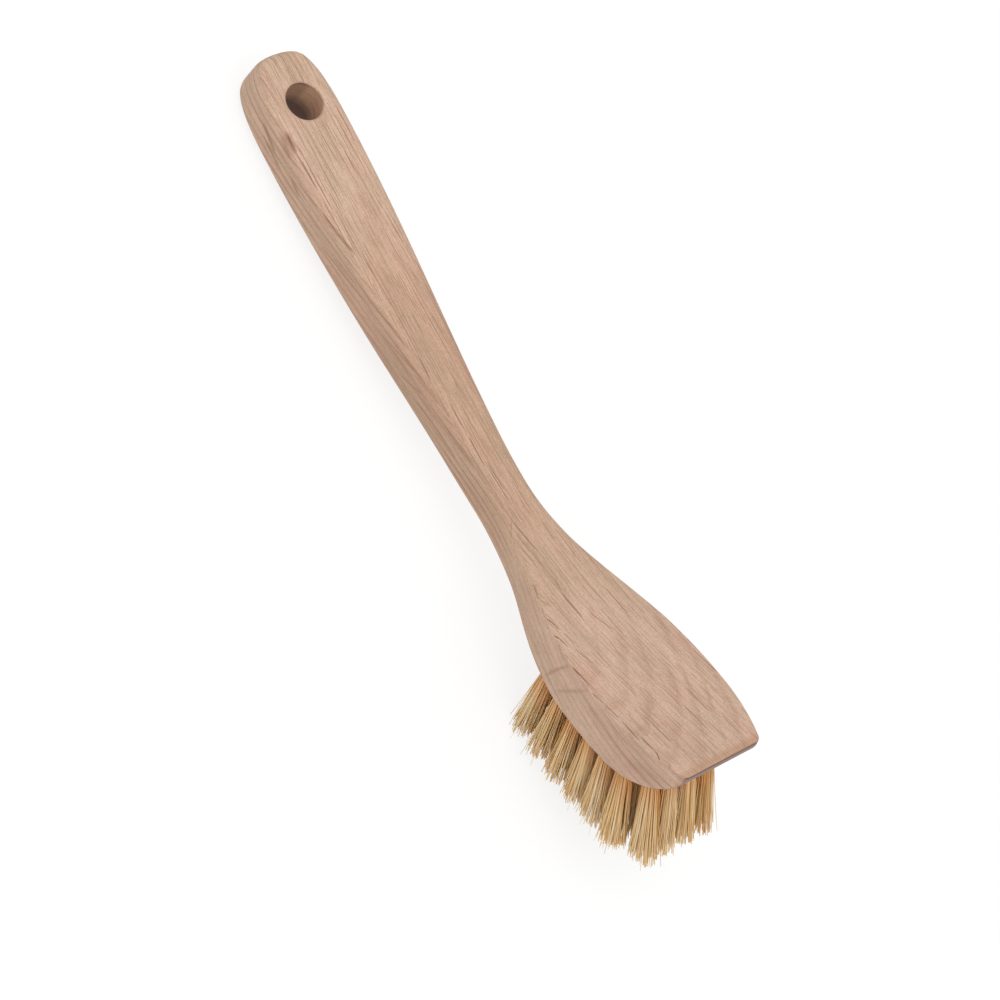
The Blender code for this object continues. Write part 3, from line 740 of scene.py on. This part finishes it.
def makeOiledOak():
    material, tree, shader = newMaterial("oiledOakSanded")
    plankPlace, backPlace, facing, topGrain, sideGrain = (
        addNode(tree, "Attribute", out="Vector", attribute_name=name)
        for name in ("plankPlace", "backPlace", "facing", "topGrain", "sideGrain"))
    facing = addNode(tree, "SeparateXYZ", (facing,)).node.outputs
    back = addNode(tree, "SeparateXYZ", (backPlace,)).node.outputs
    onTop = addNode(tree, "Math", (facing["Z"],), operation="ABSOLUTE")
    onTop = addNode(tree, "MapRange", (onTop, *oakRanges["onTop"]), **easing)
    onLeft = addNode(tree, "Math", (facing["X"], -0.5), operation="LESS_THAN")
    base = addRings(tree, plankPlace, backPlace, back["Y"], onTop)
    # slow drifts of the pinkish cast and of a greyer tan
    drift = addNode(tree, "VectorMath", (backPlace, oakFinish["drift"]), operation="DIVIDE")
    drift = addNode(tree, "TexNoise", {"Vector": drift, "Scale": 1.0, "Detail": 3.0}, out="Color")
    hues = addNode(tree, "SeparateColor", (drift,)).node.outputs
    for channel, colour in ((0, "pink"), (1, "grey")):
        share = addNode(tree, "MapRange", (hues[channel], *oakRanges["drifts"]))
        base = addNode(tree, "Mix", {0: share, 6: base, 7: linear(oakFinish[colour])}, **colourMix)
    # the fine grain, as it runs over the top and along the sides
    topStreaks, topVessels = addGrain(tree, topGrain, back["Y"])
    sideStreaks, sideVessels = addGrain(tree, sideGrain, back["Y"])
    streak = addNode(tree, "Mix", {0: onTop, 2: sideStreaks, 3: topStreaks})
    fainter = addNode(tree, "Math", (sideVessels, 0.7), operation="MULTIPLY")
    pores = addNode(tree, "Mix", {0: onTop, 2: fainter, 3: topVessels})
    speck = addNode(tree, "TexNoise", {"Vector": backPlace, "Scale": 1 / oakFinish["speckle"], "Detail": 2.0,
                                       "Distortion": 1.0})
    share = addNode(tree, "Math", (back["Y"], 1 / wood["length"]), operation="MULTIPLY")
    for tone in (addNode(tree, "MapRange", (streak, *oakRanges["streakTone"]), clamp=False),
                 addNode(tree, "MapRange", (speck, *oakRanges["speckTone"]), clamp=False),
                 addNode(tree, "ValToRGB", (share,), stops=oakTint)):
        base = addNode(tree, "Mix", {0: 1.0, 6: base, 7: tone}, **colourMix, blend_type="MULTIPLY")
    # what is laid over the grain, in turn: pairs of how strongly it shows and its colour
    layers = []
    leftPlace = addNode(tree, "CombineXYZ", (back["Y"], back["Z"]))
    ragged = addNode(tree, "Math", (streak, 1.6, 0.2), operation="MULTIPLY_ADD")
    for colour in ("mark", "mineral", "seam"):
        total = 0.0
        for face, place, mask in (("top", backPlace, onTop), ("left", leftPlace, onLeft)):
            for mark in oakMarks.get((face, colour), ()):
                shown = addNode(tree, "Math", (addMark(tree, place, *mark), mask), operation="MULTIPLY")
                total = addNode(tree, "Math", (shown, total), operation="MAXIMUM")
        layers.append((addNode(tree, "Math", (total, ragged), operation="MULTIPLY", use_clamp=True), colour))
    # the front margin is browner, over its rounded edge; under that, a dark line and the mauve grey of the
    # front face are painted shade where the wood faces forward
    ahead = addNode(tree, "Math", (streak, 1.6, back["Y"]), operation="MULTIPLY_ADD")
    layers.append((addNode(tree, "MapRange", (ahead, *oakRanges["frontMargin"]), **easing), "margin"))
    frontFaceShade = addNode(tree, "MapRange", (facing["Y"], *oakRanges["frontFaceShade"], 0.0, 0.85), **easing)
    for colour, first, last in (("edge", -0.35, -0.65), ("front", -1.0, -1.4)):
        paintedShadeStrip = addNode(tree, "MapRange", (back["Z"], first, last, 0.0, frontFaceShade), **easing)
        layers.append((paintedShadeStrip, colour))
    # end grain at the handle's tip is darker and dotted
    dots = addNode(tree, "TexVoronoi", {"Vector": plankPlace, "Scale": 1 / oakFinish["dot"]}, out="Distance")
    dotted = addNode(tree, "MapRange", (dots, *oakRanges["dots"]))
    onTip = addNode(tree, "MapRange", (facing["Y"], *oakRanges["onTip"], 0.0, dotted), **easing)
    layers += [(onTip, "endGrain"), (pores, "pore")]
    # the hanging hole's wall: near the rim a warmer tint, partly the drilled wood's own tone and partly
    # painted light on the lit wall, and deeper in a painted shade that darkens it inwards
    depth = addNode(tree, "Attribute", out="Fac", attribute_name="boreDepth")
    for colour, first, last, most in (("drilledAndLitWall", 0.6, 2.5, 0.4), ("boreShade", 8.0, 13.0, 0.9)):
        layers.append((addNode(tree, "MapRange", (depth, first, last, 0.0, most)), colour))
    for share, colour in layers:
        base = addNode(tree, "Mix", {0: share, 6: base, 7: linear(oakFinish[colour])}, **colourMix)
    tree.links.new(base, shader.inputs["Base Color"])
    height = addNode(tree, "Math", (streak, 0.4), operation="MULTIPLY")
    height = addNode(tree, "Math", (height, pores), operation="SUBTRACT")
    bump = addNode(tree, "Bump", {"Height": height, "Strength": oakFinish["reliefStrength"],
                                  "Distance": oakFinish["relief"] * mm})
    tree.links.new(bump, shader.inputs["Normal"])
    shader.inputs["Roughness"].default_value = oakFinish["roughness"]
    shader.inputs["IOR"].default_value = oakFinish["ior"]
    return material


# Cut agave fibre, undyed and bundled: straw to honey brown from one fibre to the next, browner near the wood,
# partly its own colour and partly painted shade, with the low waxy sheen of a stiff plant fibre. Its mottle's
# size is in millimetres.
fibreFinish = {
    "tones": ((0.0, "#C0864A"), (0.25, "#D6A666"), (0.5, "#E8C186"), (0.75, "#F1D5A6"), (1.0, "#F6E1BE")),
    "root": "#DA8A3C", "rootBrowningAndShadeRange": (-0.1, 0.5, 0.75, 0.0), "mottle": 4.545, "mottleShare": 0.3,
    "roughness": 0.65, "specular": 0.15,
}


def makePlantFibre():
    material, tree, shader = newMaterial("agaveFibreUndyed")
    tone = addNode(tree, "Attribute", out="Fac", attribute_name="fibreTone")
    reach = addNode(tree, "Attribute", out="Fac", attribute_name="fibreReach")
    place = addNode(tree, "TexCoord", out="Object")
    scale = 1 / (fibreFinish["mottle"] * mm)
    mottle = addNode(tree, "TexNoise", {"Vector": place, "Scale": scale, "Detail": 2.0})
    shifted = addNode(tree, "Math", (mottle, fibreFinish["mottleShare"], tone), operation="MULTIPLY_ADD")
    shifted = addNode(tree, "Math", (shifted, fibreFinish["mottleShare"] / 2), operation="SUBTRACT")
    colour = addNode(tree, "ValToRGB", (shifted,), stops=fibreFinish["tones"])
    # painted shade near the wood, on top of the fibre's own browning there: the root tint
    rootBrowningAndShade = addNode(tree, "MapRange", (reach, *fibreFinish["rootBrowningAndShadeRange"]))
    colour = addNode(tree, "Mix", {0: rootBrowningAndShade, 6: colour, 7: linear(fibreFinish["root"])}, **colourMix)
    tree.links.new(colour, shader.inputs["Base Color"])
    shader.inputs["Roughness"].default_value = fibreFinish["roughness"]
    shader.inputs["Specular IOR Level"].default_value = fibreFinish["specular"]
    return material


# Flat steel wire, zinc coated: dull pale grey with a faint spangle, its size in millimetres.
wireFinish = {"colour": "#B9BDBF", "dull": "#8F9496", "roughness": 0.38, "spangle": 0.8}


def makeGalvanisedWire():
    material, tree, shader = newMaterial("galvanisedSteelWire")
    place = addNode(tree, "TexCoord", out="Object")
    scale = 1 / (wireFinish["spangle"] * mm)
    spangle = addNode(tree, "TexNoise", {"Vector": place, "Scale": scale, "Detail": 2.0})
    clean, dull = linear(wireFinish["colour"]), linear(wireFinish["dull"])
    colour = addNode(tree, "Mix", {0: spangle, 6: clean, 7: dull}, **colourMix)
    tree.links.new(colour, shader.inputs["Base Color"])
    shader.inputs["Metallic"].default_value = 1.0
    shader.inputs["Roughness"].default_value = wireFinish["roughness"]
    return material


body = makeBody()
body.data.materials.clear()
body.data.materials.append(makeOiledOak())
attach(body, "root")
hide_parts("oak_handle_and_head")
print("Oak body:", len(body.data.polygons), "faces")

plantFibre = makePlantFibre()
dice = random.Random(fibres["seed"])
rows = len(tufts["perRow"])
for row, column, across, along in tuftPlaces():
    sideways = (column == tufts["perRow"][row - 1]) - (column == 1)
    outward = Vector((sideways, (row == 1) - (row == rows), 0)).normalized()
    # painted light: the rear rows get a lighter tone than the front rows, against the shade under the head
    tone = between(fibres["frontTone"], fibres["rearPaintedLightTone"], (row - 1) / (rows - 1))
    mesh = tuftMesh(tuftFrame(across, along), outward, tone, dice)
    mesh.materials.append(plantFibre)
    tuft = newObject(f"fibre_row{row}_{column}", mesh)
    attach(tuft, "root")
    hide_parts(f"tuft_row{row}_{column}")
print("Tufts:", len(tuftPlaces()), "of", 2 * fibres["folded"], "fibre ends each")

galvanisedWire = makeGalvanisedWire()
for name, node in frame["nodes"].items():
    if name.startswith("anchor"):
        node.data.materials.clear()
        node.data.materials.append(galvanisedWire)
print("Anchors: galvanised")

# The photograph's camera, placed from the head's frame in millimetres: it looks down at a point on the level
# of the head's top.
view = {
    "aim": (1.87, 109.85, 0.0), "distance": 948.2, "heading": math.radians(52.156),
    "elevation": math.radians(45.993), "roll": math.radians(19.036), "lens": 112.19, "sensor": 36.0,
    "nearest": 50.0, "farthest": 20000.0,
}


def makeCamera():
    data = bpy.data.cameras.new("camera")
    data.lens = view["lens"]
    data.sensor_width = view["sensor"]
    data.clip_start = view["nearest"] * mm
    data.clip_end = view["farthest"] * mm
    camera = newObject("camera", data)
    level = math.cos(view["elevation"])
    look = Vector((math.sin(view["heading"]) * level, math.cos(view["heading"]) * level,
                   -math.sin(view["elevation"])))
    turn = look.to_track_quat("-Z", "Y").to_matrix().to_4x4() @ Matrix.Rotation(view["roll"], 4, "Z")
    place = Vector(view["aim"]) - look * view["distance"]
    camera.matrix_world = headFrame @ Matrix.Translation(place * mm) @ turn
    bpy.context.scene.camera = camera


makeCamera()

# Studio: a white sweep, an even sky and one large soft lamp above the head's left, in metres. The camera sees
# the sweep as a pale sheet that glows, which leaves the shadow on it but makes it light.
studio = {
    "floorSize": 6.0, "floorColour": "#F2F2F0", "seenColour": "#7F7F7E", "floorGlow": 0.81,
    "floorRoughness": 0.9, "sky": 0.62,
    "lampPower": 11.0, "lampSize": 1.6, "lampAt": (-0.25, -0.1, 1.35), "lampAim": (0.0, 0.0, 0.03),
}


def seenDirectly(tree):  # 1 for rays from the camera and for what gloss or glass shows
    rays = addNode(tree, "LightPath").node.outputs
    seen = addNode(tree, "Math", (rays["Is Camera Ray"], rays["Is Glossy Ray"]), operation="MAXIMUM")
    return addNode(tree, "Math", (seen, rays["Is Transmission Ray"]), operation="MAXIMUM")


def makeFloor():
    shape = bmesh.new()
    bmesh.ops.create_grid(shape, x_segments=2, y_segments=2, size=studio["floorSize"] / 2)
    floor = newObject("floor", meshFrom(shape, "floor"))
    material, tree, shader = newMaterial("paperSweep")
    seen = seenDirectly(tree)
    colour, shown = linear(studio["floorColour"]), linear(studio["seenColour"])
    sheet = addNode(tree, "Mix", {0: seen, 6: colour, 7: shown}, **colourMix)
    tree.links.new(sheet, shader.inputs["Base Color"])
    glow = addNode(tree, "Math", (seen, studio["floorGlow"]), operation="MULTIPLY")
    tree.links.new(glow, shader.inputs["Emission Strength"])
    shader.inputs["Emission Color"].default_value = (1, 1, 1, 1)
    shader.inputs["Roughness"].default_value = studio["floorRoughness"]
    shader.inputs["Specular IOR Level"].default_value = 0.0
    floor.data.materials.append(material)


def makeLight():
    world = bpy.data.worlds.new("sky")
    world.use_nodes = True
    tree = world.node_tree
    background = tree.nodes["Background"]
    strength = addNode(tree, "MapRange", (seenDirectly(tree), 0.0, 1.0, studio["sky"], 1.0))
    background.inputs["Color"].default_value = (1, 1, 1, 1)
    tree.links.new(strength, background.inputs["Strength"])
    bpy.context.scene.world = world
    data = bpy.data.lights.new("softbox", "AREA")
    data.energy = studio["lampPower"]
    data.size = studio["lampSize"]
    lamp = newObject("softbox", data)
    lamp.location = studio["lampAt"]
    lamp.rotation_mode = "QUATERNION"
    lamp.rotation_quaternion = (Vector(studio["lampAim"]) - lamp.location).to_track_quat("-Z", "Y")


makeFloor()
makeLight()
bpy.context.scene.view_settings.view_transform = "Standard"
print("Studio ready")
